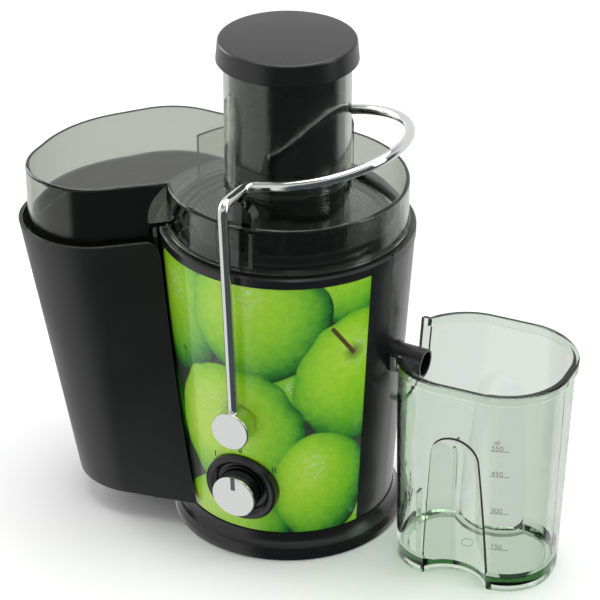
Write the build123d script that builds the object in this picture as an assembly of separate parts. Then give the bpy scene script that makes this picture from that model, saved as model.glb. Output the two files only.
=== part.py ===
from build123d import *
import math
import os

# Centrifugal juicer. Millimetres, +Z up, origin at the centre of the base on the table.
# +X points to the juice spout and jug, -Y to the user, -X to the pulp container.

# ---- driving dimensions: body ----
BODY_FOOT_R = 68.0          # housing radius where it meets the base
BODY_TOP_R = 79.3           # housing radius under the top ring
BODY_FOOT_Z = 17.0
BODY_TOP_Z = 200.0
TAPER = (BODY_TOP_R - BODY_FOOT_R) / (BODY_TOP_Z - BODY_FOOT_Z)
LEAN = math.degrees(math.atan(TAPER))
WALL = 2.5
BASE_R = 74.7
FOOT_HEIGHT = 2.2
RING_R = 79.8
RING_TOP_Z = 206.4
RING_BORE_R = 75.4

# ---- printed front panel ----
PANEL_HALF_ANGLE = 64.0
PANEL_THICK = 1.5

# ---- spout side: tongue of the juice bowl in a U-shaped opening ----
TONGUE_HALF_TOP = 17.0
TONGUE_HALF_LOW = 14.0
TONGUE_LOW_Z = 126.0
SEAM = 0.3
SPOUT_Z = 127.0
SPOUT_R = 9.4
SPOUT_BORE_R = 7.7
SPOUT_X = 72.0
SPOUT_Y = -1.5
SPOUT_LENGTH = 23.0
SPOUT_DROOP = 2.0
SPOUT_YAW = -2.0

# ---- lid ----
LID_R = 75.2
LID_TOP_Z = 237.0
LID_FOOT_Z = 207.4
LID_WALL = 2.4
LID_PLATE_Z = LID_TOP_Z - LID_WALL
COLLAR_R = 66.0             # bowl's raised collar inside the lid
COLLAR_TOP_Z = 216.0
CHUTE_R = 38.9
CHUTE_BORE_R = 36.6
CHUTE_FOOT_R = 37.2
CHUTE_FOOT_Z = 170.0
TUBE_FOOT_Z = 240.0
TUBE_TOP_Z = 317.5
CATCH_HALF = 12.0
CATCH_TOP_Z = 252.0
CATCH_Y = 66.5
CATCH_THICK = 8.0

# ---- pulp side: plans of the lid's hood and of the container, corner points and their radii ----
HOOD_PLAN = ((-45.0, -28.0), (-160.0, -116.7), (-160.0, 11.5), (-110.3, 66.5), (-36.0, 61.6))
HOOD_RADII = (41.0, 80.0, 45.0)
HOOD_FOOT_Z = 193.0
PASSAGE_R = 86.9
CURTAIN_R = 81.4
CURTAIN_ANGLES = (118.0, 160.0)
BIN_TOP_PLAN = ((-41.3, -32.8), (-166.0, -129.0), (-166.0, 13.8), (-112.8, 72.7), (-38.0, 67.7))
BIN_TOP_RADII = (47.0, 86.0, 51.0)
BIN_FOOT_PLAN = ((-30.0, -58.9), (-136.5, -73.8), (-136.5, 10.0), (-104.0, 58.0), (-33.0, 58.0))
BIN_FOOT_RADII = (44.0, 45.0, 35.0)
BIN_GAP = 2.2               # between the housing and the container's hollow side
BIN_WALL = 2.4
BIN_TOP_Z = 200.0
BIN_FOOT_Z = 20.0
BIN_CORNER = (-64.1, -50.3)
BIN_CORNER_R = 9.0

# ---- locking bail ----
PIVOT_Z = 99.5
ROD_R = 3.2
HUB_R = 12.5
HUB_INNER_Y = 74.6
HUB_FACE_Y = 86.5
PIN_R = 5.0
PIN_END_Y = 76.4
PIN_LENGTH = 24.4
RUNNING_GAP = 0.05
BAIL_SWING = 48.0
CAM_R = 12.0
CAM_DROP = 3.0
CAM_Y = 55.0

# ---- controls ----
KNOB_Z = 50.0
KNOB_R = 14.6
BEZEL_R = 24.0
SPINDLE_R = 3.0

# ---- drive ----
SHAFT_R = 4.0
ARMATURE_R = 21.5
STATOR_Z = (52.0, 84.0)
DECK_Z = 110.5
DECK_THICK = 3.0
BOWL_FLOOR_Z = 117.0

# ---- jug ----
JUG_X = 136.0
JUG_Y = -9.0
JUG_RIM_Z = 147.5
JUG_WALL = 2.2
JUG_FLOOR_Z = 7.0
GRIP_X = 134.0
GRIP_R = 26.2
GRIP_FOOT_Y = 49.7
GRIP_TOP = (62.9, 92.0)


def body_r(z):
    """Outer radius of the tapered housing at height z."""
    return BODY_FOOT_R + (z - BODY_FOOT_Z) * TAPER


def turned(*points):
    """Solid of revolution about Z of a closed outline of (radius, height) points."""
    return revolve(Plane.XZ * make_face(Polyline(*points, close=True)), Axis.Z)


def ring(outer, inner, low, high):
    """Flat ring or short tube about Z."""
    return turned((inner, low), (outer, low), (outer, high), (inner, high))


def disc(radius, low, high):
    """Round plate about Z."""
    return Pos(0, 0, (low + high) / 2) * Cylinder(radius, high - low)


def block(low, high):
    """Box between two opposite corners."""
    size = [b - a for a, b in zip(low, high)]
    middle = [(a + b) / 2 for a, b in zip(low, high)]
    return Pos(*middle) * Box(*size)


def wedge(start, end, low, high, reach=120):
    """Pie slice about Z between two angles in degrees."""
    arc = CenterArc((0, 0), reach, start, end - start)
    face = make_face([arc, Line(arc @ 1, (0, 0)), Line((0, 0), arc @ 0)])
    return Pos(0, 0, low) * extrude(face, high - low)


def around(shape, radius, angles):
    """Copies of a shape stood on a circle about Z, each turned to face outwards."""
    return [Rot(0, 0, a) * (Pos(radius, 0, 0) * shape) for a in angles]


def on_front(z, lift=0.0):
    """Plane on the housing's front at height z, its normal square to the tapered wall."""
    lean = math.radians(LEAN)
    normal = Vector(0, -math.cos(lean), -math.sin(lean))
    origin = Vector(0, -body_r(z), z) + normal * lift
    return Plane(origin=origin, x_dir=(1, 0, 0), z_dir=normal)


def cone_shell(low, high, depth, lift=0.0):
    """Slice of the tapered housing's skin, depth thick, its outside lift below the surface."""
    outer_low = body_r(low) - lift
    outer_high = body_r(high) - lift
    return turned(
        (outer_low - depth, low), (outer_low, low), (outer_high, high), (outer_high - depth, high)
    )


def tongue_outline(gap):
    """Prism along X of the U-shaped opening on the spout side, shrunk by gap."""
    half_low = TONGUE_HALF_LOW - gap
    half_top = TONGUE_HALF_TOP - gap
    top = RING_TOP_Z + 1
    arc = ThreePointArc((-half_low, TONGUE_LOW_Z), (0, TONGUE_LOW_Z - half_low), (half_low, TONGUE_LOW_Z))
    sides = Polyline((half_low, TONGUE_LOW_Z), (half_top, top), (-half_top, top), (-half_low, TONGUE_LOW_Z))
    face = make_face([arc, sides])
    return extrude(Plane.YZ.offset(50) * face, 50)


# ---------------------------------------------------------------- base

def base_skirt():
    """Flared foot moulding with an inner shelf and four screw bosses."""
    flare = ThreePointArc((73.0, 8.5), (70.2, 12.0), (68.9, 16.0))
    rest = Polyline(
        (68.9, 16.0), (68.6, 17.0), (54.0, 17.0), (54.0, 15.0), (66.6, 15.0), (71.6, 2.6), (71.6, 0),
        (BASE_R - 0.8, 0), (BASE_R, 0.8), (BASE_R, 4.0), (73.0, 8.5),
    )
    skirt = revolve(Plane.XZ * make_face([flare, rest]), Axis.Z)
    bosses = around(disc(4.0, 4.8, 15.5) - disc(1.65, 4.0, 13.0), 58.5, range(0, 360, 90))
    return skirt + bosses


def bottom_cover():
    """Vented plate that closes the base from below."""
    plate = disc(70.6, FOOT_HEIGHT, 4.8)
    vents = []
    for radius, first, length in ((22, 0, 11), (34, 22, 18)):
        slot = Rot(0, 0, 90) * extrude(SlotOverall(length, 3.0), 12, both=True)
        vents += around(slot, radius, range(first, 360, 45))
    foot_holes = around(disc(3.0, 0, 6), 60, range(45, 360, 90))
    screw_holes = around(disc(1.8, 0, 6) + disc(3.6, 0, 3.6), 58.5, range(0, 360, 90))
    return plate - vents - foot_holes - screw_holes


def rubber_feet():
    """Four pads, each with a plug through the cover."""
    pad = fillet(disc(7.5, 0, FOOT_HEIGHT).edges().group_by(Axis.Z)[0], 0.6)
    return around(pad + disc(3.0, FOOT_HEIGHT, 4.8), 60, range(45, 360, 90))


def bottom_screws():
    """Four pan-head screws into the skirt's bosses."""
    screw = disc(3.2, 2.4, 3.6) + disc(1.6, 3.6, 12.5) - block((-2.4, -0.4, 2.0), (2.4, 0.4, 3.0))
    return around(screw, 58.5, range(0, 360, 90))


# ---------------------------------------------------------------- housing

def housing_shell():
    """Tapered housing, recessed for the front panel and open where the bowl's tongue sits."""
    shell = cone_shell(BODY_FOOT_Z, BODY_TOP_Z, WALL)
    front = -90
    recess = cone_shell(BODY_FOOT_Z + 0.6, BODY_TOP_Z + 1, PANEL_THICK + 0.1)
    recess = recess & wedge(front - PANEL_HALF_ANGLE - 0.2, front + PANEL_HALF_ANGLE + 0.2, 0, 220)
    lining = cone_shell(BODY_FOOT_Z, BODY_TOP_Z, 2.2, PANEL_THICK + 0.1)
    lining = lining & wedge(front - PANEL_HALF_ANGLE - 2, front + PANEL_HALF_ANGLE + 2, 0, 220)
    shell = shell + lining - recess - tongue_outline(0)
    pivot_holes = Pos(0, 0, PIVOT_Z) * Rot(90, 0, 0) * Cylinder(8.0, 200)
    bezel_hole = on_front(KNOB_Z, -20) * Cylinder(12.2, 60)
    bezel_seat = on_front(KNOB_Z) * Pos(0, 0, 9.9) * Cylinder(BEZEL_R + 0.2, 30)
    inlet = Pos(0, 66, 30) * Rot(90, 0, 0) * Cylinder(7.0, 20)
    ledge = ring(body_r(DECK_Z - 3) - WALL + 0.4, body_r(DECK_Z - 3) - 6.5, DECK_Z - 3, DECK_Z)
    return shell + ledge - pivot_holes - bezel_hole - bezel_seat - inlet


def front_panel():
    """Printed cover plate on the housing's front, between the base and the top ring."""
    skin = cone_shell(BODY_FOOT_Z + 0.8, BODY_TOP_Z - 0.2, PANEL_THICK)
    skin = skin & wedge(-90 - PANEL_HALF_ANGLE, -90 + PANEL_HALF_ANGLE, 0, 220)
    pivot_hole = Pos(0, -75, PIVOT_Z) * Rot(90, 0, 0) * Cylinder(8.0, 30)
    bezel_hole = on_front(KNOB_Z) * Cylinder(BEZEL_R + 0.1, 40)
    return skin - pivot_hole - bezel_hole


def top_ring():
    """Rim ring, split on the spout side where the bowl's tongue carries it on."""
    body = turned(
        (RING_BORE_R, BODY_TOP_Z), (RING_R, BODY_TOP_Z), (RING_R, RING_TOP_Z - 1.2),
        (RING_R - 1.2, RING_TOP_Z), (RING_BORE_R, RING_TOP_Z),
    )
    return body - block((40, -TONGUE_HALF_TOP, 190), (90, TONGUE_HALF_TOP, 220))


def cord_inlet():
    """Round bush at the back where the mains lead enters."""
    outside = body_r(30)
    bush = Cylinder(7.0, 10) + Pos(0, 0, 7.2) * Cone(9.0, 6.5, 5)
    bush = bush - Cylinder(3.6, 40)
    return Pos(0, outside - 4.0, 30) * Rot(-90, 0, 0) * bush


# ---------------------------------------------------------------- motor

def motor_deck():
    """Plate under the bowl that the motor hangs from."""
    plate = disc(body_r(DECK_Z) - 4.3, DECK_Z, DECK_Z + DECK_THICK)
    holes = around(disc(2.2, 100, 115), 44, range(45, 360, 90))
    return plate - disc(14.0, 100, 120) - holes


def motor_grommets():
    """Rubber bushes between the deck and the motor's upper bracket."""
    return around(ring(6.0, 2.2, 105.0, DECK_Z), 44, range(45, 360, 90))


def motor_screws():
    """Screws down through the deck and the grommets."""
    seat = DECK_Z + DECK_THICK
    slit = block((-3, -0.5, seat + 1.3), (3, 0.5, seat + 3))
    screw = disc(4.2, seat, seat + 2.2) + disc(2.0, 99.5, seat) - slit
    return around(screw, 44, range(45, 360, 90))


def upper_bracket():
    """Cross-shaped bracket with the upper bearing's seat."""
    arms = [Rot(0, 0, a) * block((-50, -8, 102), (50, 8, 105)) for a in (45, 135)]
    cup = disc(13.0, 96, 105) - disc(11.0, 90, 103.5) - disc(6.0, 100, 110)
    holes = around(disc(2.1, 95, 110), 44, range(45, 360, 90))
    legs = around(block((-2, -6, STATOR_Z[1]), (1, 6, 102.5)), 36, (0, 180))
    bars = block((-37, -6, 102), (37, 6, 105))
    return arms[0] + arms[1] + bars + legs - disc(13.0, 90, 110) + cup - holes


def lower_bracket():
    """Bridge below the stator with the lower bearing's seat and the brush holders' shelf."""
    bar = block((-37, -9, 24), (37, 9, 27))
    cup = disc(13.0, 20, 27) - disc(11.0, 21.5, 30) - disc(6.0, 10, 30)
    legs = around(block((-2, -6, 26.5), (1, 6, STATOR_Z[0])), 36, (0, 180))
    return bar + legs - disc(13.0, 10, 40) + cup


def bearing(low):
    """Sintered bush in a steel ring."""
    return ring(11.0, SHAFT_R + RUNNING_GAP, low, low + 5.4)


def motor_stator():
    """Laminated iron stack with two pole arches around the rotor."""
    low, high = STATOR_Z
    stack = extrude(Pos(0, 0, low) * RectangleRounded(78, 66, 12), high - low)
    bore = disc(ARMATURE_R + 0.6, low - 1, high + 1)
    slots = [block((s * 24 - 8, -24, low - 1), (s * 24 + 8, 24, high + 1)) for s in (-1, 1)]
    return stack - bore - slots[0] - slots[1]


def field_coils():
    """Two wound coils through the stator's windows."""
    low, high = STATOR_Z
    coils = []
    for side in (-1, 1):
        outer = block((side * 27 - 4, -23, low - 7), (side * 27 + 4, 23, high + 7))
        inner = block((side * 27 - 5, -16, low - 0.3), (side * 27 + 5, 16, high + 0.3))
        coils.append(fillet(outer.edges().filter_by(Axis.X), 3.0) - inner)
    return coils


def brush_holders():
    """Two boxes that hold the brushes against the commutator."""
    box = block((17, -5, 32), (33, 5, 42)) - block((10, -3.2, 33.8), (31, 3.2, 40.2))
    post = block((22, -5, 27), (30, 5, 32))
    return around(box + post, 0, (0, 180))


def carbon_brushes():
    """Two carbon blocks, a hair off the commutator."""
    return around(block((11.7, -3.1, 33.9), (26, 3.1, 40.1)), 0, (0, 180))


def rotor_core():
    """Slotted armature iron."""
    core = disc(ARMATURE_R, *STATOR_Z) - disc(SHAFT_R, 0, 100)
    slot = block((14, -1.2, 50), (23, 1.2, 86))
    return core - around(slot, 0, range(0, 360, 30))


def rotor_windings():
    """End turns above and below the armature iron."""
    low, high = STATOR_Z
    top = ring(19.5, 6.0, high, high + 6)
    top = fillet(top.edges().filter_by(GeomType.CIRCLE).group_by(Axis.Z)[1], 2.0)
    bottom = ring(19.5, 6.0, low - 6, low)
    bottom = fillet(bottom.edges().filter_by(GeomType.CIRCLE).group_by(Axis.Z)[0], 2.0)
    return [top, bottom]


def commutator():
    """Copper drum with its gaps between the bars."""
    drum = ring(11.5, SHAFT_R, 31, 44)
    gap = block((10.6, -0.3, 30), (12, 0.3, 45))
    return drum - around(gap, 0, range(0, 360, 20))


def cooling_fan():
    """Radial fan above the rotor."""
    plate = ring(31.0, SHAFT_R, 91.0, 92.2)
    hub = ring(8.0, SHAFT_R, 91.0, 95.0)
    blade = block((9, -0.6, 92), (30.5, 0.6, 95.4))
    return plate + hub + around(blade, 0, range(0, 360, 30))


def motor_shaft():
    """Shaft from the lower bearing up through the bowl to the coupling."""
    return disc(SHAFT_R, 22.0, 152.0)


# ---------------------------------------------------------------- juice bowl and basket

def juice_bowl():
    """Bowl round the basket, with its tongue, ring segment and spout."""
    low = BOWL_FLOOR_Z
    wall_low = body_r(low + 8) - WALL - 2.6
    wall_top = RING_BORE_R - 0.6
    cup = turned(
        (7.0, low), (wall_low - 8, low), (wall_low, low + 8), (wall_top, 196), (wall_top, 207.2),
        (wall_top - 2.2, 207.2), (wall_top - 2.2, 196), (wall_low - 2.2, low + 9),
        (wall_low - 9, low + 2.4), (9.4, low + 2.4), (9.4, 140), (7.0, 140),
    )
    shoulder_r = wall_top - 1.0
    collar_r = COLLAR_R + 2.4
    rise = turned(
        (shoulder_r, 199), (shoulder_r, 202), (collar_r, 207.5), (collar_r, COLLAR_TOP_Z),
        (COLLAR_R, COLLAR_TOP_Z), (COLLAR_R, 206.5), (shoulder_r - 1.6, 199),
    )
    rise = rise - wedge(146, 214, 207.2, 230)
    skin = cone_shell(TONGUE_LOW_Z - 16, BODY_TOP_Z, WALL) & tongue_outline(SEAM)
    bridge_z = (190, RING_TOP_Z)
    bridge = ring(RING_R - 0.6, wall_top - 1, *bridge_z) & tongue_outline(SEAM)
    bridge = bridge - cone_shell(185, 200, 12, -6.0) + (cone_shell(190, 200, 6) & tongue_outline(SEAM))
    cap = ring(RING_R, wall_top - 1, 200, RING_TOP_Z) & tongue_outline(SEAM)
    spout = Pos(SPOUT_X, SPOUT_Y, SPOUT_Z) * Rot(0, 0, SPOUT_YAW) * Rot(0, 90 + SPOUT_DROOP, 0)
    barrel = spout * disc(SPOUT_R, -6, SPOUT_LENGTH)
    collar = spout * disc(SPOUT_R + 1.0, -3, 4)
    bore = spout * disc(SPOUT_BORE_R, -14, SPOUT_LENGTH + 1)
    return cup + rise + skin + bridge + cap + collar + barrel - bore


def shaft_seal():
    """Lip seal in the bowl's central sleeve."""
    return ring(7.0, SHAFT_R + RUNNING_GAP, 132, 140)


def drive_coupling():
    """Toothed hub on the shaft's end."""
    hub = ring(10.0, SHAFT_R, 141.5, 152.0) + disc(10.0, 152.0, 154.0)
    tooth = block((9.5, -1.5, 143), (11.6, 1.5, 154))
    return hub + around(tooth, 0, range(0, 360, 45))


def strainer_frame():
    """Basket's moulded floor, with the socket for the coupling."""
    socket = ring(16.0, 12.0, 143.5, 154.3)
    floor = disc(44.0, 154.3, 157.5)
    edge = ring(45.2, 42.6, 154.3, 161.0)
    return socket + floor + edge


def strainer_rim():
    """Rolled rim on the basket's wall."""
    return fillet(ring(65.2, 61.6, 202.6, 206.0).edges().group_by(Axis.Z)[-1], 1.2)


def strainer_mesh():
    """Perforated conical wall of the basket."""
    return turned((44.2, 161.0), (45.0, 161.0), (64.2, 202.6), (63.4, 202.6))


def grater_disc():
    """Toothed disc in the basket's floor."""
    plate = disc(42.4, 157.5, 158.9)
    tooth = Pos(0, 0, 159.4) * Box(3.2, 1.0, 1.6)
    teeth = []
    for r, count in ((12, 8), (19, 12), (26, 18), (33, 24), (39, 28)):
        teeth += around(tooth, r, [i * 360 / count for i in range(count)])
    nut = Pos(0, 0, 160.6) * Cone(6.0, 4.0, 3.4)
    return plate + teeth + nut


# ---------------------------------------------------------------- lid, tube and pusher

def rounded_plan(points, radii, shrink=0.0):
    """Face of a five-cornered plan whose three outer corners are rounded."""
    face = make_face(Polyline(*points, close=True))
    for point, radius in zip(points[1:4], radii):
        corner = face.vertices().sort_by_distance(Vector(*point))[0]
        face = fillet(corner, radius)
    return offset(face, -shrink) if shrink else face


def hood_prism(shrink, low, high):
    """Prism of the lid's pulp hood."""
    return Pos(0, 0, low) * extrude(rounded_plan(HOOD_PLAN, HOOD_RADII, shrink), high - low)


def lid():
    """Clear lid: round part with its chute, and the hood over the pulp container."""
    inner_r = LID_R - LID_WALL
    outside = disc(LID_R, LID_FOOT_Z, LID_TOP_Z) + hood_prism(0, LID_FOOT_Z, LID_TOP_Z)
    outside = fillet(outside.edges().group_by(Axis.Z)[-1], 2.0)
    skirt = hood_prism(0, HOOD_FOOT_Z, LID_FOOT_Z + 1) - disc(PASSAGE_R, 190, 240)
    flange = ring(LID_R + 1.0, LID_R - 3, LID_FOOT_Z, LID_FOOT_Z + 1.6)
    latch = ring(LID_R + 1.8, LID_R - 0.5, LID_FOOT_Z + 1.6, LID_FOOT_Z + 3.0)
    latch = latch & wedge(-58, -43, 200, 220)
    round_hollow = disc(inner_r, LID_FOOT_Z - 1, LID_PLATE_Z)
    hood_hollow = hood_prism(LID_WALL, LID_FOOT_Z + 2.2, LID_PLATE_Z) - disc(inner_r - 0.4, 190, 240)
    skirt_hollow = hood_prism(LID_WALL, HOOD_FOOT_Z - 1, LID_FOOT_Z + 3) - disc(PASSAGE_R, 190, 240)
    curtain = ring(CURTAIN_R, CURTAIN_R - 2.0, LID_FOOT_Z + 2.2, LID_PLATE_Z + 0.5)
    curtain = curtain & wedge(*CURTAIN_ANGLES, 200, 240) & hood_prism(0.5, 200, 240)
    bore_foot = (CHUTE_FOOT_R - 2.3, CHUTE_FOOT_Z)
    bore_top = (CHUTE_R - 2.8, TUBE_FOOT_Z)
    chute = turned(bore_foot, (CHUTE_FOOT_R, CHUTE_FOOT_Z), (CHUTE_R - 0.5, TUBE_FOOT_Z), bore_top)
    throat = turned((0, 160), bore_foot, bore_top, (0, TUBE_FOOT_Z))
    body = outside + skirt + flange + latch - round_hollow - hood_hollow - skirt_hollow
    return body + curtain + lid_catches() + chute - throat


def lid_catches():
    """Two pads down the lid's wall, each with a raised tab that the bail presses on."""
    foot_z = LID_TOP_Z - 3
    spring_z = LID_TOP_Z + 1
    left, right = (-CATCH_HALF, spring_z), (CATCH_HALF, spring_z)
    arch = ThreePointArc(left, (0, CATCH_TOP_Z), right)
    sides = Polyline(right, (CATCH_HALF, foot_z), (-CATCH_HALF, foot_z), left)
    tab = extrude(Plane.XZ.offset(CATCH_Y) * make_face([arch, sides]), CATCH_THICK)
    pad = block((-CATCH_HALF, -LID_R - 1.0, LID_FOOT_Z + 4), (CATCH_HALF, -LID_R + 2.2, LID_TOP_Z - 2.4))
    front = tab + pad
    return front + mirror(front, Plane.XZ)


def feed_tube():
    """Straight clear tube on the lid's collar."""
    barrel = ring(CHUTE_R, CHUTE_BORE_R, TUBE_FOOT_Z, TUBE_TOP_Z)
    collar = ring(CHUTE_R + 0.7, CHUTE_R - 1, TUBE_FOOT_Z, TUBE_FOOT_Z + 2.0)
    return barrel + collar


def pusher_cap():
    """Domed black cap over the tube's end."""
    crown = ThreePointArc((0, 329.4), (22, 329.1), (40.4, 328.3))
    edge = ThreePointArc((40.4, 328.3), (41.8, 327.7), (42.3, 326.4))
    rest = Polyline((42.3, 326.4), (43.4, 315.3), (41.2, 315.3), (40.6, 318.2), (0, 318.2), (0, 329.4))
    return revolve(Plane.XZ * make_face([crown, edge, rest]), Axis.Z)


def pusher_body():
    """Hollow stepped plunger that fills the tube's bore and reaches down the chute."""
    wide = CHUTE_BORE_R - 0.9
    slim = wide - 2.2
    outer = [(0, 180), (slim - 2, 180), (slim, 182), (slim, 251), (wide, 253.2), (wide, 318.2)]
    inner = [(wide - 2.4, 318.2), (wide - 2.4, 256), (slim - 2.4, 253), (slim - 2.4, 183), (0, 183)]
    return turned(*outer, *inner)


# ---------------------------------------------------------------- pulp container

def bin_solid(shrink, low, high):
    """Tapered body between the rim's plan and the floor's plan."""
    top = rounded_plan(BIN_TOP_PLAN, BIN_TOP_RADII, shrink)
    foot = rounded_plan(BIN_FOOT_PLAN, BIN_FOOT_RADII, shrink)
    return loft([Pos(0, 0, low) * foot, Pos(0, 0, high) * top], ruled=True)


def housing_cone(gap):
    """Tapered plug the size of the housing plus a gap."""
    low, high = 0.0, 240.0
    return turned((0, low), (body_r(low) + gap, low), (body_r(high) + gap, high), (0, high))


def pulp_container():
    """Open bin under the lid's hood, its hollow side following the housing."""
    inner_gap = BIN_GAP + BIN_WALL
    outside = bin_solid(0, BIN_FOOT_Z, BIN_TOP_Z) - housing_cone(BIN_GAP)
    inside = bin_solid(BIN_WALL, BIN_FOOT_Z + 3, BIN_TOP_Z + 1) - housing_cone(inner_gap)
    foot = Cylinder(5.0, 5.0)
    feet = [Pos(-68, -54, BIN_FOOT_Z - 1.5) * foot, Pos(-74, 46, BIN_FOOT_Z - 1.5) * foot]
    along = (HOOD_PLAN[1][0] - HOOD_PLAN[0][0], HOOD_PLAN[1][1] - HOOD_PLAN[0][1], 0)
    square = Plane(origin=(*BIN_CORNER, BIN_TOP_Z), x_dir=along, z_dir=(-along[1], along[0], 0))
    radius = BIN_CORNER_R
    patch = Pos((radius - 6) / 2, (radius - 6) / 2) * Rectangle(radius + 6, radius + 6)
    patch = patch - Pos(radius, radius) * Circle(radius)
    corner = extrude(square * patch, 7, both=True)
    return outside - inside + feet[0] + feet[1] - corner


# ---------------------------------------------------------------- locking bail

def bail_path():
    """Centre line of the rod: up each side, in over the lid's catches, then round the tube."""
    half = 59.0
    shoulder = 15.0
    rise = math.tan(math.radians(12.3))
    corner_z = 255.4
    tip_x = 75.5
    shoulder_z = corner_z + shoulder * rise
    foot = (80.2, PIVOT_Z + 2.0)
    elbow = (91.4, 258.0)

    def run(side):
        ends = [(0, side * y, z) for y, z in (foot, elbow, (half, corner_z))]
        return FilletPolyline(*ends, (shoulder, side * half, shoulder_z), radius=6.5)

    side, other = run(-1), run(1)
    bow = ThreePointArc(side @ 1, (tip_x, 0, corner_z + tip_x * rise), other @ 1)
    return Wire([*side.edges(), *bow.edges(), *other.edges()])


def locking_bail():
    """Bent chrome rod."""
    path = bail_path()
    section = Plane(origin=path @ 0, z_dir=path % 0) * Circle(ROD_R)
    return sweep(section, path)


def bail_hub(side, rod):
    """Drum on the end of the rod, with a domed face."""
    length = HUB_FACE_Y - HUB_INNER_Y
    drum = Cylinder(HUB_R, length)
    drum = fillet(drum.edges().group_by(Axis.Z)[-1], 0.8)
    turn = Rot(90, 0, 0) if side < 0 else Rot(-90, 0, 0)
    drum = Pos(0, side * (HUB_INNER_Y + length / 2), PIVOT_Z) * turn * drum
    return drum - rod - pivot_pin(side)


def pivot_pin(side):
    """Steel pin from the hub through the bush into the housing."""
    middle = Pos(0, side * (PIN_END_Y - PIN_LENGTH / 2), PIVOT_Z)
    return middle * Rot(90, 0, 0) * Cylinder(PIN_R, PIN_LENGTH)


def pivot_bush(side):
    """Flanged bush in the housing's wall."""
    tube = Cylinder(8.0, 12.0) + Pos(0, 0, -7.0) * Cylinder(10.5, 2.0)
    tube = tube - Cylinder(PIN_R + RUNNING_GAP, 30)
    turn = Rot(90, 0, 0) if side < 0 else Rot(-90, 0, 0)
    return Pos(0, side * 67.6, PIVOT_Z) * turn * tube


def pivot_clips():
    """Two retaining rings on the pins, inside the bushes."""
    clip = Cylinder(8.5, 1.0) - Cylinder(PIN_R, 2)
    return [Pos(0, side * 59.0, PIVOT_Z) * Rot(90, 0, 0) * clip for side in (-1, 1)]


def interlock_cam():
    """Spiral cam on the rear pin: the radius over the plunger falls evenly as the bail opens."""
    points = []
    for turn in range(-20, 80, 10):
        angle = math.radians(-90 + turn)
        radius = CAM_R - CAM_DROP * turn / BAIL_SWING
        points.append((radius * math.cos(angle), radius * math.sin(angle)))
    flank = Spline(*points)
    face = make_face([flank, Line(flank @ 1, (0, 6.0)), Line((0, 6.0), flank @ 0)]) + Circle(7.6)
    cam = extrude(Plane.XZ * face, 2.8, both=True)
    return Pos(0, CAM_Y, PIVOT_Z) * (cam - Rot(90, 0, 0) * Cylinder(PIN_R, 20))


def interlock_plunger():
    """Round-nosed pin that the cam lets rise when the bail is opened."""
    top = PIVOT_Z - CAM_R - 0.4
    pin = fillet(disc(2.0, 70.0, top).edges().group_by(Axis.Z)[-1], 1.6)
    return Pos(0, CAM_Y, 0) * pin


def interlock_switch():
    """Sealed safety switch under the cam, on a bracket from the housing wall."""
    case = block((-9, 49.5, 60), (9, 60, 77)) + block((-6, 60, 62), (6, 66.3, 72))
    return case - Pos(0, CAM_Y, 0) * disc(2.0 + RUNNING_GAP, 66, 80)


# ---------------------------------------------------------------- controls

def control_bezel():
    """Dished ring round the knob, with a bush for the spindle."""
    dish = turned(
        (0, -9.0), (12.0, -9.0), (12.0, -5.0), (BEZEL_R, -5.0), (BEZEL_R, 1.6), (BEZEL_R - 1.4, 3.0),
        (BEZEL_R - 4.0, 3.0), (17.6, 0.6), (17.0, -1.2), (0, -1.2),
    )
    return on_front(KNOB_Z) * (dish - Cylinder(SPINDLE_R + RUNNING_GAP, 60))


def control_knob():
    """Chromed round knob."""
    knob = Pos(0, 0, 6.3) * Cylinder(KNOB_R, 12.6)
    knob = fillet(knob.edges().group_by(Axis.Z)[-1], 0.7)
    slot = block((-1.5, KNOB_R - 9.5, 11.8), (1.5, KNOB_R + 1, 14))
    return on_front(KNOB_Z) * (knob - slot - Cylinder(SPINDLE_R, 12))


def knob_pointer():
    """Grey inlay that marks the knob's setting."""
    return on_front(KNOB_Z) * block((-1.4, KNOB_R - 9.4, 11.8), (1.4, KNOB_R - 0.9, 12.7))


def switch_spindle():
    """Spindle from the switch to the knob."""
    return on_front(KNOB_Z) * (Pos(0, 0, -4.5) * Cylinder(SPINDLE_R, 21.0))


def rotary_switch():
    """Sealed three-position switch behind the bezel."""
    case = block((-10, -10, -26), (10, 10, -15)) + block((-7, -7, -15), (7, 7, -9.0))
    return on_front(KNOB_Z) * (case - Cylinder(SPINDLE_R + RUNNING_GAP, 60))


# ---------------------------------------------------------------- jug

def jug_face(z, shrink=0.0):
    """Plan of the jug's outside at height z."""
    share = z / JUG_RIM_Z
    length = 102.0 + 5.0 * share - 2 * shrink
    width = 69.0 + 23.0 * share - 2 * shrink
    corner = 31.0 + 9.0 * share - shrink
    return Pos(JUG_X + 1.5 * share, JUG_Y, z) * RectangleRounded(length, width, corner)


def jug_plan(low, high, shrink=0.0):
    """Tapered rounded-box solid of the jug between two heights."""
    return loft([jug_face(low, shrink), jug_face(high, shrink)], ruled=True)


def grip_recess(side, grow):
    """Leaning round groove in the jug's long side, with a domed top."""
    top_y, top_z = GRIP_TOP
    foot = Vector(GRIP_X, JUG_Y + side * GRIP_FOOT_Y, 0)
    top = Vector(GRIP_X, JUG_Y + side * top_y, top_z)
    axis = (top - foot).normalized()
    radius = GRIP_R + grow
    base = Plane(origin=foot - axis * 10, z_dir=axis)
    standing = (Align.CENTER, Align.CENTER, Align.MIN)
    groove = base * Cylinder(radius, (top - foot).length + 10, align=standing)
    return groove + Pos(top) * Sphere(radius)


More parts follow.
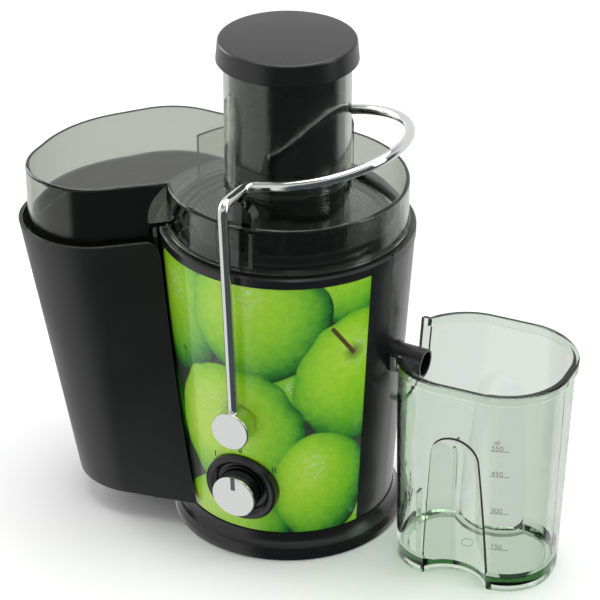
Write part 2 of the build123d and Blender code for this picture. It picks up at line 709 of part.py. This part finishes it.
def spout_notch(grow):
    """U-shaped opening in the jug's end under the spout."""
    half = 23.4 + grow
    floor_z = 106.5 - grow
    spring_z = floor_z + half
    top_z = JUG_RIM_Z + 12
    arc = ThreePointArc((-half, spring_z), (0, floor_z), (half, spring_z))
    rest = Polyline((half, spring_z), (half + 3, top_z), (-half - 3, top_z), (-half, spring_z))
    return Pos(0, JUG_Y, 0) * extrude(Plane.YZ.offset(70) * make_face([arc, rest]), 38)


def juice_jug():
    """Clear jug with a thick rim, two grip grooves and a notch for the spout."""
    body = jug_plan(0, JUG_RIM_Z)
    rim = jug_plan(JUG_RIM_Z - 6.0, JUG_RIM_Z, -1.8)
    rim = fillet(rim.edges().group_by(Axis.Z)[-1], 1.2)
    hollow = jug_plan(13.0, JUG_RIM_Z + 2, JUG_WALL)
    hollow = hollow + loft([jug_face(9.0, 4.4), jug_face(13.0, JUG_WALL)], ruled=True)
    hollow = hollow + loft([jug_face(JUG_FLOOR_Z, 8.0), jug_face(9.0, 4.4)], ruled=True)
    under = jug_plan(-1, 2.5, 5.0)
    for side in (-1, 1):
        body = body - grip_recess(side, 0)
        hollow = hollow - grip_recess(side, JUG_WALL)
        under = under - grip_recess(side, 5.0)
    lip = (jug_plan(100, JUG_RIM_Z, -4.0) & spout_notch(2.6)) - spout_notch(0)
    ribs = [block((108, JUG_Y + s * 32 - 3, 5), (109.6, JUG_Y + s * 32 + 3, 60)) & body for s in (-1, 1)]
    return body + rim + lip - hollow - under - spout_notch(0) + ribs


# ---------------------------------------------------------------- assembly

def all_nodes():
    """Every node's name and shape."""
    rod = locking_bail()
    nodes = {
        "base_skirt": base_skirt(),
        "bottom_cover": bottom_cover(),
        "rubber_feet": rubber_feet(),
        "bottom_screws": bottom_screws(),
        "housing_shell": housing_shell(),
        "front_panel": front_panel(),
        "top_ring": top_ring(),
        "cord_inlet": cord_inlet(),
        "motor_deck": motor_deck(),
        "motor_grommets": motor_grommets(),
        "motor_screws": motor_screws(),
        "upper_bracket": upper_bracket(),
        "lower_bracket": lower_bracket(),
        "upper_bearing": bearing(98.0),
        "lower_bearing": bearing(21.6),
        "motor_stator": motor_stator(),
        "field_coils": field_coils(),
        "brush_holders": brush_holders(),
        "carbon_brushes": carbon_brushes(),
        "armature_core": rotor_core(),
        "armature_windings": rotor_windings(),
        "commutator": commutator(),
        "cooling_fan": cooling_fan(),
        "motor_shaft": motor_shaft(),
        "juice_bowl": juice_bowl(),
        "shaft_seal": shaft_seal(),
        "drive_coupling": drive_coupling(),
        "strainer_frame": strainer_frame(),
        "strainer_rim": strainer_rim(),
        "strainer_mesh": strainer_mesh(),
        "grater_disc": grater_disc(),
        "lid": lid(),
        "feed_tube": feed_tube(),
        "pusher_cap": pusher_cap(),
        "pusher_body": pusher_body(),
        "pulp_container": pulp_container(),
        "locking_bail": rod,
        "pivot_clips": pivot_clips(),
        "interlock_cam": interlock_cam(),
        "interlock_plunger": interlock_plunger(),
        "interlock_switch": interlock_switch(),
        "control_bezel": control_bezel(),
        "control_knob": control_knob(),
        "knob_pointer": knob_pointer(),
        "switch_spindle": switch_spindle(),
        "rotary_switch": rotary_switch(),
        "juice_jug": juice_jug(),
    }
    for name, side in (("front", -1), ("rear", 1)):
        nodes["bail_hub_" + name] = bail_hub(side, rod)
        nodes["pivot_pin_" + name] = pivot_pin(side)
        nodes["pivot_bush_" + name] = pivot_bush(side)
    return nodes


os.makedirs("parts", exist_ok=True)
for node, shape in all_nodes().items():
    if isinstance(shape, (list, tuple)):
        shape = Compound(children=list(shape))
    export_step(shape, "parts/" + node + ".step")
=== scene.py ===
import math

import bpy
from mathutils import Euler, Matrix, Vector


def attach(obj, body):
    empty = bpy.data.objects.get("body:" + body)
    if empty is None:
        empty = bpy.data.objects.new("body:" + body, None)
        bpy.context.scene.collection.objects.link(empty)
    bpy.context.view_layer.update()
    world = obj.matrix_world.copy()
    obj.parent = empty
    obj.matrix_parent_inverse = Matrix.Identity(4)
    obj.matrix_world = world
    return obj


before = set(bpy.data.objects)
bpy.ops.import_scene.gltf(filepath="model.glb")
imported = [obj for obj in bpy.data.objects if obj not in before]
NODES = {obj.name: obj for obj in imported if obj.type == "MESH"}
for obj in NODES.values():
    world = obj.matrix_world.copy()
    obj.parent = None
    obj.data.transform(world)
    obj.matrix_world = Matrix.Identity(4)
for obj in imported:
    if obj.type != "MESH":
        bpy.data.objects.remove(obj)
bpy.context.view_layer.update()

SCENE = bpy.context.scene

# ---------------------------------------------------------------- camera

CAMERA_PLACE = (0.587, -1.270, 0.937)
CAMERA_TURN = (60.59, 0.0, 24.5)
CAMERA_LENS = 152.6
SENSOR_WIDTH = 36.0


def add_camera():
    data = bpy.data.cameras.new("camera")
    data.sensor_width = SENSOR_WIDTH
    data.lens = CAMERA_LENS
    data.clip_start = 0.05
    data.clip_end = 20.0
    camera = bpy.data.objects.new("camera", data)
    SCENE.collection.objects.link(camera)
    camera.location = CAMERA_PLACE
    camera.rotation_euler = Euler([math.radians(a) for a in CAMERA_TURN])
    SCENE.camera = camera


add_camera()


# ---------------------------------------------------------------- node helpers

class Tree:
    """Short calls for building a shader tree."""

    def __init__(self, tree):
        self.tree = tree

    def node(self, kind, **settings):
        made = self.tree.nodes.new("ShaderNode" + kind)
        for key, value in settings.items():
            setattr(made, key, value)
        return made

    def put(self, value, socket):
        if isinstance(value, bpy.types.NodeSocket):
            self.tree.links.new(value, socket)
        elif isinstance(value, tuple) and socket.type == "RGBA":
            socket.default_value = (*value, 1.0)
        elif value is not None:
            socket.default_value = value

    def math(self, operation, *values, clamp=False):
        made = self.node("Math", operation=operation, use_clamp=clamp)
        for i, value in enumerate(values):
            self.put(value, made.inputs[i])
        return made.outputs[0]

    def vector(self, operation, *values):
        made = self.node("VectorMath", operation=operation)
        for i, value in enumerate(values):
            self.put(value, made.inputs[i])
        return made.outputs["Value" if operation in ("LENGTH", "DOT_PRODUCT") else "Vector"]

    def mix(self, share, a, b, blend="MIX"):
        made = self.node("Mix", data_type="RGBA", blend_type=blend)
        self.put(share, made.inputs[0])
        self.put(a, made.inputs[6])
        self.put(b, made.inputs[7])
        return made.outputs[2]

    def span(self, value, low, high, to_low=0.0, to_high=1.0, smooth=True):
        made = self.node("MapRange", interpolation_type="SMOOTHSTEP" if smooth else "LINEAR")
        for i, v in enumerate((value, low, high, to_low, to_high)):
            self.put(v, made.inputs[i])
        return made.outputs[0]

    def ramp(self, value, *stops):
        made = self.node("ValToRGB")
        ramp = made.color_ramp
        while len(ramp.elements) < len(stops):
            ramp.elements.new(0.5)
        for element, (place, colour) in zip(ramp.elements, stops):
            element.position = place
            element.color = (*colour, 1.0)
        self.put(value, made.inputs[0])
        return made.outputs[0]

    def noise(self, at, scale, detail=4.0, rough=0.5, distortion=0.0):
        made = self.node("TexNoise")
        self.put(at, made.inputs["Vector"])
        made.inputs["Scale"].default_value = scale
        made.inputs["Detail"].default_value = detail
        made.inputs["Roughness"].default_value = rough
        made.inputs["Distortion"].default_value = distortion
        return made.outputs[0]

    def bump(self, height, strength, distance):
        made = self.node("Bump")
        made.inputs["Strength"].default_value = strength
        made.inputs["Distance"].default_value = distance
        self.put(height, made.inputs["Height"])
        return made.outputs[0]

    def place(self):
        return self.node("TexCoord").outputs["Object"]


def material(name, **sockets):
    """A material with its Principled shader; sockets are given as names with _ for spaces."""
    made = bpy.data.materials.new(name + "_finish")
    made.use_nodes = True
    tree = made.node_tree
    shader = tree.nodes["Principled BSDF"]
    for key, value in sockets.items():
        socket = shader.inputs[key.replace("_", " ")]
        socket.default_value = (*value, 1.0) if isinstance(value, tuple) and len(value) == 3 else value
    return made, Tree(tree), shader


def surface(t, shader, colour=None, rough=None, normal=None):
    t.put(colour, shader.inputs["Base Color"])
    t.put(rough, shader.inputs["Roughness"])
    t.put(normal, shader.inputs["Normal"])


# ---------------------------------------------------------------- materials

GRAIN_SCALE = 2600.0
CLOUD_SCALE = 26.0
WAVE_SCALE = 38.0
POLISH_SCALE = 900.0
TARNISH_SCALE = 60.0
NOISE_LOW, NOISE_HIGH = 0.3, 0.7


def moulded(name, colour, rough, grain=0.00012, depth=0.35, specular=0.5, lift=1.35):
    """Moulded plastic: faint colour drift, uneven gloss and a fine grain."""
    made, t, shader = material(name, Specular_IOR_Level=specular)
    at = t.place()
    cloud = t.noise(at, CLOUD_SCALE, 3.0)
    fine = t.noise(at, GRAIN_SCALE, 2.0, 0.6)
    shade = t.mix(cloud, tuple(c * 0.9 for c in colour), tuple(c * lift for c in colour))
    gloss = t.span(cloud, NOISE_LOW, NOISE_HIGH, rough * 0.9, rough * 1.12)
    gloss = t.math("ADD", gloss, t.math("MULTIPLY", fine, 0.03))
    surface(t, shader, shade, gloss, t.bump(fine, depth, grain))
    return made


def clear_plastic(name, tint, density, rough, film):
    """Tinted clear plastic, coloured by its thickness; lamps reach what is behind it."""
    made, t, shader = material(name, Base_Color=film, Transmission_Weight=1.0, IOR=1.49)
    tree = made.node_tree
    at = t.place()
    wave = t.noise(at, WAVE_SCALE, 2.0)
    gloss = t.span(wave, NOISE_LOW, NOISE_HIGH, rough * 0.7, rough * 1.4)
    surface(t, shader, None, gloss, t.bump(wave, 0.06, 0.0006))
    output = tree.nodes["Material Output"]
    passing = t.node("BsdfTransparent")
    passing.inputs[0].default_value = (*[0.5 + 0.5 * c for c in tint], 1.0)
    choice = t.node("MixShader")
    t.put(t.node("LightPath").outputs["Is Shadow Ray"], choice.inputs[0])
    t.put(shader.outputs[0], choice.inputs[1])
    t.put(passing.outputs[0], choice.inputs[2])
    t.put(choice.outputs[0], output.inputs["Surface"])
    inside = t.node("VolumeAbsorption")
    inside.inputs["Color"].default_value = (*tint, 1.0)
    inside.inputs["Density"].default_value = density
    t.put(inside.outputs[0], output.inputs["Volume"])
    return made


def metal(name, colour, rough, streak=0.0, stretch=(1.0, 1.0, 1.0)):
    """Metal with fine polishing marks."""
    made, t, shader = material(name, Metallic=1.0)
    at = t.vector("MULTIPLY", t.place(), stretch)
    lines = t.noise(at, POLISH_SCALE, 3.0, 0.6)
    cloud = t.noise(t.place(), TARNISH_SCALE, 2.0)
    shade = t.mix(cloud, tuple(c * 0.96 for c in colour), colour)
    gloss = t.span(lines, NOISE_LOW, NOISE_HIGH, rough * 0.7, rough * 1.3)
    surface(t, shader, shade, gloss, t.bump(lines, streak, 0.00004))
    return made


HOLE_PITCH = 0.0022
HOLE_SHARE = 0.29
HOLE_EDGE = 0.05
SIEVE_R = 0.055


def perforated_steel():
    """Stainless sheet with staggered rows of small holes; the holes are coloured near-black as painted
    shade for the dark seen through them.
    """
    made, t, shader = material("stainless", Metallic=1.0)
    at = t.place()
    flat = t.vector("MULTIPLY", at, (1.0, 1.0, 0.0))
    split = t.node("SeparateXYZ")
    t.put(at, split.inputs[0])
    x, y, z = split.outputs
    around = t.math("MULTIPLY", t.math("ARCTAN2", y, x), SIEVE_R / HOLE_PITCH)
    up = t.math("DIVIDE", t.math("ADD", z, t.vector("LENGTH", flat)), HOLE_PITCH)
    shift = t.math("MULTIPLY", t.math("FLOORED_MODULO", t.math("FLOOR", up), 2.0), 0.5)
    across = t.math("SUBTRACT", t.math("FRACT", t.math("ADD", around, shift)), 0.5)
    along = t.math("SUBTRACT", t.math("FRACT", up), 0.5)
    reach = t.math("SQRT", t.math("ADD", t.math("POWER", across, 2.0), t.math("POWER", along, 2.0)))
    sheet = t.span(reach, HOLE_SHARE, HOLE_SHARE + HOLE_EDGE)
    cloud = t.noise(at, TARNISH_SCALE, 2.0)
    steel = t.mix(cloud, (0.56, 0.56, 0.55), (0.62, 0.62, 0.61))
    # the holes are real, but their near-black colour is painted shade standing in for the dark seen
    # through them
    shade = t.mix(sheet, (0.02, 0.02, 0.02), steel)
    gloss = t.span(cloud, NOISE_LOW, NOISE_HIGH, 0.2, 0.3)
    surface(t, shader, shade, gloss, t.bump(sheet, 0.4, 0.0003))
    return made


# The print on the front, from back to front, in millimetres and degrees:
# along the arc, height, half width, half height, turn and tone of each apple.
APPLES = (
    (-64.0, 74.0, 16.0, 42.0, 0.0, -0.5),
    (36.0, 122.0, 17.0, 19.0, 0.0, -0.5),
    (75.0, 205.0, 37.0, 35.0, 0.0, -0.05),
    (-43.0, 165.0, 35.0, 44.0, 8.0, -0.02),
    (15.0, 178.0, 45.0, 46.0, -8.0, 0.10),
    (81.0, 131.0, 46.0, 49.0, 10.0, 0.02),
    (-3.0, 90.0, 48.0, 50.0, -14.0, 0.30),
    (-10.0, 21.0, 46.0, 33.0, -10.0, 0.14),
    (86.0, 18.0, 24.0, 24.0, 0.0, -0.35),
    (54.0, 52.0, 34.0, 42.0, 0.0, 0.10),
)
ARC_R = 74.0
STALK = ((58.6, 168.5, 0.0), (72.6, 148.8, 0.0))
STALK_HALF = (1.5, 1.1)
STALK_BROWN = (0.10, 0.055, 0.012)
DIMPLES = (((73.0, 149.0, 0.0), 9.0, 0.75), ((-42.0, 138.0, 0.0), 3.2, 0.9))
DIMPLE_GREEN = (0.012, 0.045, 0.004)
GAP_COLOURS = ((0.018, 0.032, 0.016), (0.045, 0.055, 0.040))
APPLE_COLOURS = (
    (0.0, (0.0, 0.02, 0.004)), (0.10, (0.002, 0.10, 0.008)), (0.30, (0.022, 0.26, 0.010)),
    (0.56, (0.17, 0.52, 0.008)), (0.80, (0.33, 0.68, 0.010)), (1.0, (0.50, 0.78, 0.05)),
)
SPECK_COLOUR = (0.42, 0.66, 0.12)
GLEAM_COLOUR = (0.62, 0.86, 0.72)
LIT_FROM = (-0.26, 0.22, 0.0)
GLEAM_PLACE = (-0.16, 0.38, 0.0)


def apple_group():
    """Node group: one apple laid over what is behind it."""
    group = bpy.data.node_groups.new("print_apple", "ShaderNodeTree")
    sockets = {"Behind": "Color", "At": "Vector", "Centre": "Vector", "Size": "Vector"}
    sockets.update({"Turn": "Float", "Tone": "Float"})
    for name, kind in sockets.items():
        group.interface.new_socket(name, in_out="INPUT", socket_type="NodeSocket" + kind)
    group.interface.new_socket("Colour", in_out="OUTPUT", socket_type="NodeSocketColor")
    t = Tree(group)
    given = group.nodes.new("NodeGroupInput").outputs
    result = group.nodes.new("NodeGroupOutput").inputs
    off = t.vector("SUBTRACT", given["At"], given["Centre"])
    turned = t.node("VectorRotate", rotation_type="Z_AXIS")
    t.put(off, turned.inputs["Vector"])
    t.put(given["Turn"], turned.inputs["Angle"])
    flat = t.vector("DIVIDE", turned.outputs[0], given["Size"])
    wobble = t.noise(off, 0.03, 1.0)
    reach = t.math("ADD", t.vector("LENGTH", flat), t.span(wobble, 0.3, 0.7, -0.04, 0.04))
    rise = t.math("SUBTRACT", 1.0, t.math("POWER", reach, 2.4), clamp=True)
    rise = t.math("MULTIPLY", t.math("SQRT", rise), 0.72)
    lit = t.vector("DOT_PRODUCT", flat, LIT_FROM)
    light = t.math("ADD", t.math("ADD", rise, lit), t.math("MULTIPLY", given["Tone"], 0.5))
    skin = t.noise(off, 0.16, 5.0, 0.62, 0.4)
    light = t.math("ADD", light, t.span(skin, 0.25, 0.75, 0.0, 0.12))
    colour = t.ramp(light, *APPLE_COLOURS)
    dots = t.node("TexVoronoi")
    t.put(off, dots.inputs["Vector"])
    dots.inputs["Scale"].default_value = 0.28
    speck = t.math("MULTIPLY", t.span(dots.outputs["Distance"], 0.14, 0.05), 0.3)
    colour = t.mix(speck, colour, SPECK_COLOUR)
    near = t.vector("LENGTH", t.vector("SUBTRACT", flat, GLEAM_PLACE))
    blotch = t.noise(t.vector("MULTIPLY", off, (0.6, 1.6, 1.0)), 0.34, 4.0, 0.7, 1.2)
    gleam = t.math("MULTIPLY", t.span(near, 0.42, 0.05), t.span(blotch, 0.50, 0.66))
    colour = t.mix(t.math("MULTIPLY", gleam, 0.62), colour, GLEAM_COLOUR)
    t.put(t.mix(t.span(reach, 1.0, 0.972), given["Behind"], colour), result["Colour"])
    return group


def from_stalk(t, flat):
    """Distance on the print from the line of the stalk."""
    run = tuple(b - a for a, b in zip(*STALK))
    length = math.hypot(*run)
    from_end = t.vector("SUBTRACT", flat, STALK[0])
    share = t.vector("DOT_PRODUCT", from_end, tuple(v / length ** 2 for v in run))
    share = t.math("ADD", share, 0.0, clamp=True)
    return t.vector("LENGTH", t.vector("SUBTRACT", from_end, t.vector("MULTIPLY", run, share)))


def printed_panel():
    """Glossy cover over a print of green apples."""
    made, t, shader = material("printed_panel", Roughness=0.34, Coat_Weight=0.6, Coat_Roughness=0.04)
    at = t.node("SeparateXYZ")
    t.put(t.place(), at.inputs[0])
    x, y, z = at.outputs
    turn = t.math("ARCTAN2", x, t.math("MULTIPLY", y, -1.0))
    spread = t.node("CombineXYZ")
    t.put(t.math("MULTIPLY", turn, ARC_R), spread.inputs[0])
    t.put(t.math("MULTIPLY", z, 1000.0), spread.inputs[1])
    flat = spread.outputs[0]
    colour = t.mix(t.noise(flat, 0.05, 2.0), *GAP_COLOURS)
    group = apple_group()
    for s, h, half_s, half_h, lean, tone in APPLES:
        use = t.node("Group", node_tree=group)
        t.put(colour, use.inputs["Behind"])
        t.put(flat, use.inputs["At"])
        use.inputs["Centre"].default_value = (s, h, 0.0)
        use.inputs["Size"].default_value = (half_s, half_h, 1.0)
        use.inputs["Turn"].default_value = math.radians(lean)
        use.inputs["Tone"].default_value = tone
        colour = use.outputs[0]
    for centre, size, strength in DIMPLES:
        away = t.vector("LENGTH", t.vector("SUBTRACT", flat, centre))
        colour = t.mix(t.span(away, size, 0.0, 0.0, strength), colour, DIMPLE_GREEN)
    away = from_stalk(t, flat)
    colour = t.mix(t.span(away, *STALK_HALF), colour, STALK_BROWN)
    surface(t, shader, colour)
    return made


MATERIALS = {
    "body_black": moulded("body_black", (0.007, 0.007, 0.0075), 0.22, 0.00003, 0.12),
    "cap_black": moulded("cap_black", (0.007, 0.007, 0.007), 0.28, 0.00008),
    "container_black": moulded("container_black", (0.010, 0.010, 0.0105), 0.40, 0.00014, 0.5),
    "pusher_grey": moulded("pusher_grey", (0.009, 0.015, 0.016), 0.26, 0.00003, 0.15),
    "pointer_grey": moulded("pointer_grey", (0.09, 0.095, 0.095), 0.45),
    "plastic_white": moulded("plastic_white", (0.62, 0.63, 0.60), 0.35, lift=1.1),
    "plastic_dark": moulded("plastic_dark", (0.016, 0.016, 0.017), 0.48),
    "rubber_black": moulded("rubber_black", (0.012, 0.012, 0.012), 0.78, 0.0002, 0.6),
    "carbon": moulded("carbon", (0.02, 0.02, 0.021), 0.6),
    "printed_panel": printed_panel(),
    "smoke_clear": clear_plastic("smoke_clear", (0.49, 0.54, 0.47), 200.0, 0.03, (0.94, 0.95, 0.91)),
    "jug_clear": clear_plastic("jug_clear", (0.57, 0.74, 0.56), 105.0, 0.03, (0.91, 0.935, 0.905)),
    "bail_chrome": metal("bail_chrome", (0.73, 0.74, 0.73), 0.05),
    "steel": metal("steel", (0.50, 0.50, 0.51), 0.28, 0.2, (1.0, 1.0, 0.1)),
    "stainless": perforated_steel(),
    "bearing_bronze": metal("bearing_bronze", (0.52, 0.36, 0.20), 0.35, 0.2),
    "lamination": metal("lamination", (0.30, 0.30, 0.31), 0.42, 0.7, (0.05, 0.05, 3.0)),
    "copper_wire": metal("copper_wire", (0.72, 0.36, 0.20), 0.30, 0.8, (1.0, 0.2, 1.0)),
}


def dress_nodes():
    """Every CAD node gets the finished material of the slot that it came with."""
    for node in NODES.values():
        for slot in node.material_slots:
            slot.material = MATERIALS[slot.material.name]


dress_nodes()


# ---------------------------------------------------------------- small marks

MARK_RISE = 0.00012
MARK_ROOT = 0.00010
STROKE = 0.00028
DIAL_STROKE = 0.0007
DIAL_LETTER = 0.0034
LEVEL_LETTER = 0.0030
LEVEL_LEFT, LEVEL_RIGHT = 0.1575, 0.1685
LEVELS = (("150", 0.0325), ("300", 0.0604), ("450", 0.0884), ("550", 0.1074))
GATE_CENTRE = (0.131, -0.009)
GATE_R = 0.0042
OUTSIDE = 0.15
TURN_STEPS = [a * math.pi / 8 for a in range(17)]
ROUND_O = [(0.28 + 0.28 * math.sin(a), 0.5 - 0.5 * math.cos(a)) for a in TURN_STEPS]
STROKES = {
    "0": [ROUND_O],
    "1": [[(0.1, 0.8), (0.3, 1.0), (0.3, 0.0)]],
    "3": [[(0.0, 0.95), (0.3, 1.0), (0.48, 0.78), (0.2, 0.55), (0.52, 0.3), (0.3, 0.0), (0.0, 0.06)]],
    "4": [[(0.4, 0.0), (0.4, 1.0), (0.0, 0.3), (0.56, 0.3)]],
    "5": [[(0.5, 1.0), (0.08, 1.0), (0.04, 0.58), (0.34, 0.62), (0.52, 0.3), (0.32, 0.0), (0.0, 0.06)]],
    "I": [[(0.28, 0.0), (0.28, 1.0)]],
    "m": [[(0.0, 0.0), (0.0, 0.6), (0.3, 0.6), (0.3, 0.0)], [(0.3, 0.6), (0.6, 0.6), (0.6, 0.0)]],
    "l": [[(0.1, 0.0), (0.1, 1.0)]],
}


def meet(node, start, along):
    """Where a line first meets a CAD node, and the surface's direction there."""
    inward = node.matrix_world.inverted()
    hit, point, normal, _ = node.ray_cast(inward @ Vector(start), inward.to_3x3() @ Vector(along))
    if not hit:
        raise ValueError("no surface under a mark on " + node.name)
    return node.matrix_world @ point, (node.matrix_world.to_3x3() @ normal).normalized()


def written(text, left, foot, height, gap=0.78):
    """Strokes of a short text, as lists of points in metres."""
    lines = []
    for i, letter in enumerate(text):
        start = left + i * gap * height
        lines += [[(start + u * height, foot + v * height) for u, v in line] for line in STROKES[letter]]
    return lines


def add_marks(name, lines, chart, width, body, slot):
    """One raised piece that follows a surface along every stroke."""
    verts, faces = [], []
    for line in lines:
        for (u0, v0), (u1, v1) in zip(line, line[1:]):
            reach = width / 2 / math.hypot(u1 - u0, v1 - v0)
            du, dv = (u1 - u0) * reach, (v1 - v0) * reach
            outline = [
                (u0 - du - dv, v0 - dv + du), (u1 + du - dv, v1 + dv + du),
                (u1 + du + dv, v1 + dv - du), (u0 - du + dv, v0 - dv - du),
            ]
            base = len(verts)
            spots = [chart(u, v) for u, v in outline]
            verts += [point - normal * MARK_ROOT for point, normal in spots]
            verts += [point + normal * MARK_RISE for point, normal in spots]
            sides = [(i, (i + 1) % 4, (i + 1) % 4 + 4, i + 4) for i in range(4)]
            quads = [(3, 2, 1, 0), (4, 5, 6, 7), *sides]
            faces += [tuple(base + i for i in quad) for quad in quads]
    mesh = bpy.data.meshes.new(name)
    mesh.from_pydata(verts, [], faces)
    mesh.materials.append(MATERIALS[slot])
    piece = bpy.data.objects.new(name, mesh)
    SCENE.collection.objects.link(piece)
    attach(piece, body)


def on_panel(s, z):
    """Point of the front panel at an arc length and a height."""
    angle = s * 1000.0 / ARC_R
    out = Vector((math.sin(angle), -math.cos(angle), 0.0))
    return meet(NODES["front_panel"], out * OUTSIDE + Vector((0, 0, z)), -out)


def on_jug_side(x, z):
    """Point of the jug's near side."""
    return meet(NODES["juice_jug"], (x, -OUTSIDE, z), (0, 1, 0))


def on_jug_floor(x, y):
    """Point of the jug's floor, seen from above."""
    return meet(NODES["juice_jug"], (x, y, 0.05), (0, 0, -1))


def add_small_marks():
    """Switch positions round the knob, volumes on the jug's side and the gate mark in its floor."""
    dial = written("I", -0.0208, 0.0672, DIAL_LETTER)
    dial += written("0", -0.0010, 0.0762, DIAL_LETTER)
    dial += written("II", 0.0206, 0.0648, DIAL_LETTER, 0.5)
    add_marks("dial_marks", dial, on_panel, DIAL_STROKE, "root", "plastic_dark")
    levels = []
    for number, level in LEVELS:
        levels += [[(LEVEL_LEFT, level), (LEVEL_RIGHT, level)]]
        levels += written(number, LEVEL_LEFT + 0.001, level + 0.0009, LEVEL_LETTER)
    levels += written("ml", 0.1600, 0.1127, LEVEL_LETTER)
    add_marks("jug_level_marks", levels, on_jug_side, STROKE, "jug", "pointer_grey")
    x, y = GATE_CENTRE
    angles = [a * math.pi / 12 for a in range(25)]
    rim = [(x + GATE_R * math.cos(a), y + GATE_R * math.sin(a)) for a in angles]
    add_marks("jug_gate_mark", [rim], on_jug_floor, STROKE, "jug", "pointer_grey")


bpy.context.view_layer.update()
add_small_marks()


# ---------------------------------------------------------------- floor and light

FLOOR_REACH = 6.0
GAP_TOWARD = (0.848, -0.530, 0.0)
GAP_COLOUR = (0.085, 0.10, 0.105)
ROOM_COLOUR = (1.0, 1.0, 1.0)
CEILING_COLOUR = (0.3, 0.3, 0.3)
ROOM_STRENGTH = 0.9
LAMPS = (
    ("overhead", (0.1, 0.2, 1.6), (0, 0, 0.1), (1.6, 1.6), 24.0),
    ("left_box", (-1.35, 0.25, 0.7), (0, 0, 0.15), (0.7, 1.2), 9.0),
    ("right_box", (1.4, 0.2, 0.6), (0, 0, 0.15), (0.4, 1.2), 5.0),
)


def add_floor():
    """Plain pale floor that the glossy and clear parts don't mirror."""
    mesh = bpy.data.meshes.new("floor")
    far = FLOOR_REACH
    corners = [(-far, -far, 0), (far, -far, 0), (far, far, 0), (-far, far, 0)]
    mesh.from_pydata(corners, [], [(0, 1, 2, 3)])
    floor = bpy.data.objects.new("floor", mesh)
    SCENE.collection.objects.link(floor)
    made, t, shader = material("floor", Roughness=0.9, Specular_IOR_Level=0.1)
    surface(t, shader, t.mix(t.noise(t.place(), 2.0), (0.90, 0.90, 0.90), (0.92, 0.92, 0.92)))
    mesh.materials.append(made)
    floor.visible_glossy = False
    floor.visible_transmission = False


def add_light(name, place, target, size, power):
    """Rectangular soft lamp turned towards a point."""
    data = bpy.data.lights.new(name, "AREA")
    data.shape = "RECTANGLE"
    data.size, data.size_y = size
    data.energy = power
    lamp = bpy.data.objects.new(name, data)
    SCENE.collection.objects.link(lamp)
    lamp.location = place
    lamp.rotation_euler = (Vector(target) - Vector(place)).to_track_quat("-Z", "Y").to_euler()


def add_world():
    """White surroundings under a dimmer ceiling, with a dark gap on the near right side."""
    world = bpy.data.worlds.new("studio")
    world.use_nodes = True
    SCENE.world = world
    t = Tree(world.node_tree)
    along = t.node("TexCoord").outputs["Generated"]
    split = t.node("SeparateXYZ")
    t.put(along, split.inputs[0])
    level = t.vector("NORMALIZE", t.vector("MULTIPLY", along, (1.0, 1.0, 0.0)))
    facing = t.vector("DOT_PRODUCT", level, GAP_TOWARD)
    gap = t.math("MULTIPLY", t.span(facing, 0.21, 0.47), t.span(split.outputs[2], 0.55, 0.25))
    backdrop = world.node_tree.nodes["Background"]
    ceiling = t.span(split.outputs[2], 0.5, 0.85)
    room = t.mix(ceiling, ROOM_COLOUR, CEILING_COLOUR)
    t.put(t.mix(gap, room, GAP_COLOUR), backdrop.inputs[0])
    backdrop.inputs[1].default_value = ROOM_STRENGTH


add_floor()
add_world()
for lamp in LAMPS:
    add_light(*lamp)

SCENE.view_settings.view_transform = "Standard"
SCENE.cycles.transparent_max_bounces = 32
SCENE.cycles.max_bounces = 16
SCENE.cycles.transmission_bounces = 16
